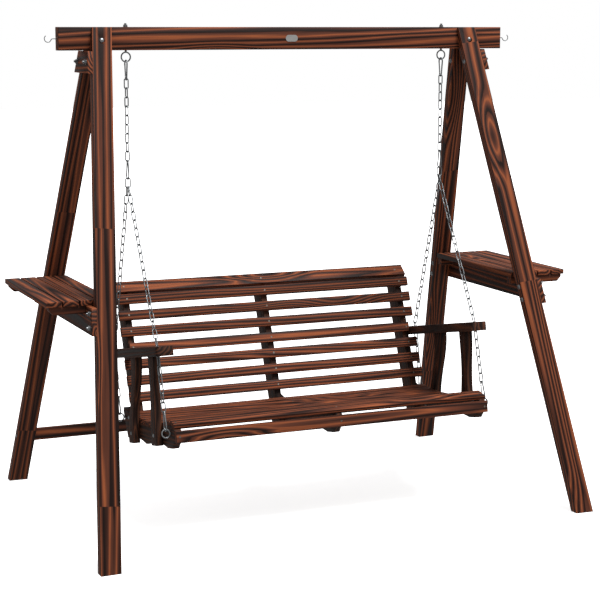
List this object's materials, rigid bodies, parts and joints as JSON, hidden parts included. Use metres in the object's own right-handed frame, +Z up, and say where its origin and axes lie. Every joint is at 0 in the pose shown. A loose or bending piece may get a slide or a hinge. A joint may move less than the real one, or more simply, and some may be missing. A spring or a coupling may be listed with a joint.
{
  "type": "porch swing with stand",
  "caption": "Slatted wooden bench with armrests, hung on chains and snap hooks from the beam of a splayed A-frame stand with a slatted side table on each side",
  "frame": {"origin": "on the ground, under the middle of the stand's beam", "axes": "+X along the beam, +Y to the back of the bench, +Z up"},
  "size_m": [2.002, 1.2924, 1.763],
  "materials": {
    "stand_wood": "stained fir, brushed, satin",
    "table_wood": "stained fir, brushed, satin",
    "bench_wood": "stained fir, brushed, satin",
    "galvanised_steel": "zinc plated",
    "badge_plate": "dull plate"
  },
  "bodies": {
    "stand": {"beam": "stand_wood", "leg_front_left": "stand_wood", "leg_front_right": "stand_wood", "leg_rear_left": "stand_wood", "leg_rear_right": "stand_wood", "tie_board_left": "stand_wood", "tie_board_right": "stand_wood", "side_rail_left": "stand_wood", "side_rail_right": "stand_wood", "rear_stretcher": "stand_wood", "table_slats_left": "table_wood", "table_slats_right": "table_wood", "table_battens_left": "table_wood", "table_battens_right": "table_wood", "frame_bolts": "galvanised_steel", "frame_nuts": "galvanised_steel", "table_screws": "galvanised_steel", "beam_eye_bolts": "galvanised_steel", "beam_eye_nuts": "galvanised_steel", "end_hooks": "galvanised_steel", "blank_badge": "badge_plate"},
    "hanger_left": {"top_hook_left": "galvanised_steel", "hanger_chain_left": "galvanised_steel", "junction_hook_left": "galvanised_steel", "junction_link_left": "galvanised_steel"},
    "hanger_right": {"top_hook_right": "galvanised_steel", "hanger_chain_right": "galvanised_steel", "junction_hook_right": "galvanised_steel", "junction_link_right": "galvanised_steel"},
    "bench": {"seat_support_left": "bench_wood", "seat_support_middle": "bench_wood", "seat_support_right": "bench_wood", "seat_slats": "bench_wood", "seat_nose_slat": "bench_wood", "seat_apron": "bench_wood", "back_upright_left": "bench_wood", "back_upright_middle": "bench_wood", "back_upright_right": "bench_wood", "back_slats": "bench_wood", "back_cap": "bench_wood", "armrest_left": "bench_wood", "armrest_right": "bench_wood", "arm_posts_left": "bench_wood", "arm_posts_right": "bench_wood", "bench_bolts": "galvanised_steel", "bench_nuts": "galvanised_steel", "bench_screws": "galvanised_steel", "bench_eye_bolts": "galvanised_steel", "seat_chains_left": "galvanised_steel", "seat_chains_right": "galvanised_steel", "seat_hooks_left": "galvanised_steel", "seat_hooks_right": "galvanised_steel"},
    "gate_top_left": {"gate_top_left": "galvanised_steel"},
    "gate_top_right": {"gate_top_right": "galvanised_steel"},
    "gate_junction_left": {"gate_junction_left": "galvanised_steel"},
    "gate_junction_right": {"gate_junction_right": "galvanised_steel"},
    "gate_front_left": {"gate_front_left": "galvanised_steel"},
    "gate_front_right": {"gate_front_right": "galvanised_steel"},
    "gate_rear_left": {"gate_rear_left": "galvanised_steel"},
    "gate_rear_right": {"gate_rear_right": "galvanised_steel"}
  },
  "joints": [
    {"name": "swing_left", "type": "hinge", "parent": "stand", "child": "hanger_left", "pos_m": [-0.62, 0, 1.63], "axis": [1, 0, 0], "range_deg": [-25, 25]},
    {"name": "swing_right", "type": "hinge", "parent": "stand", "child": "hanger_right", "pos_m": [0.62, 0, 1.63], "axis": [1, 0, 0], "range_deg": [-25, 25]},
    {"name": "bench_pitch", "type": "hinge", "parent": "hanger_left", "child": "bench", "pos_m": [-0.62, 0, 1.1881], "axis": [1, 0, 0], "range_deg": [-10, 10]},
    {"name": "gate_top_left_hinge", "type": "hinge", "parent": "hanger_left", "child": "gate_top_left", "pos_m": [-0.62, 0.00722, 1.58135], "axis": [1, 0, 0], "range_deg": [0, 20], "stiffness_Nm_per_rad": 0.02},
    {"name": "gate_junction_left_hinge", "type": "hinge", "parent": "hanger_left", "child": "gate_junction_left", "pos_m": [-0.62, 0.00722, 1.27325], "axis": [-1, 0, 0], "range_deg": [0, 20], "stiffness_Nm_per_rad": 0.02},
    {"name": "gate_front_left_hinge", "type": "hinge", "parent": "bench", "child": "gate_front_left", "pos_m": [-0.6174, -0.35549, 0.44184], "axis": [-1, 0, 0], "range_deg": [0, 20], "stiffness_Nm_per_rad": 0.02},
    {"name": "gate_rear_left_hinge", "type": "hinge", "parent": "bench", "child": "gate_rear_left", "pos_m": [-0.6226, 0.15633, 0.38917], "axis": [-1, 0, 0], "range_deg": [0, 20], "stiffness_Nm_per_rad": 0.02},
    {"name": "gate_top_right_hinge", "type": "hinge", "parent": "hanger_right", "child": "gate_top_right", "pos_m": [0.62, 0.00722, 1.58135], "axis": [1, 0, 0], "range_deg": [0, 20], "stiffness_Nm_per_rad": 0.02},
    {"name": "gate_junction_right_hinge", "type": "hinge", "parent": "hanger_right", "child": "gate_junction_right", "pos_m": [0.62, 0.00722, 1.27325], "axis": [-1, 0, 0], "range_deg": [0, 20], "stiffness_Nm_per_rad": 0.02},
    {"name": "gate_front_right_hinge", "type": "hinge", "parent": "bench", "child": "gate_front_right", "pos_m": [0.6174, -0.35549, 0.44184], "axis": [-1, 0, 0], "range_deg": [0, 20], "stiffness_Nm_per_rad": 0.02},
    {"name": "gate_rear_right_hinge", "type": "hinge", "parent": "bench", "child": "gate_rear_right", "pos_m": [0.6226, 0.15633, 0.38917], "axis": [-1, 0, 0], "range_deg": [0, 20], "stiffness_Nm_per_rad": 0.02}
  ],
  "couplings": [
    {"joint": "swing_right", "follows": "swing_left", "ratio": 1}
  ]
}
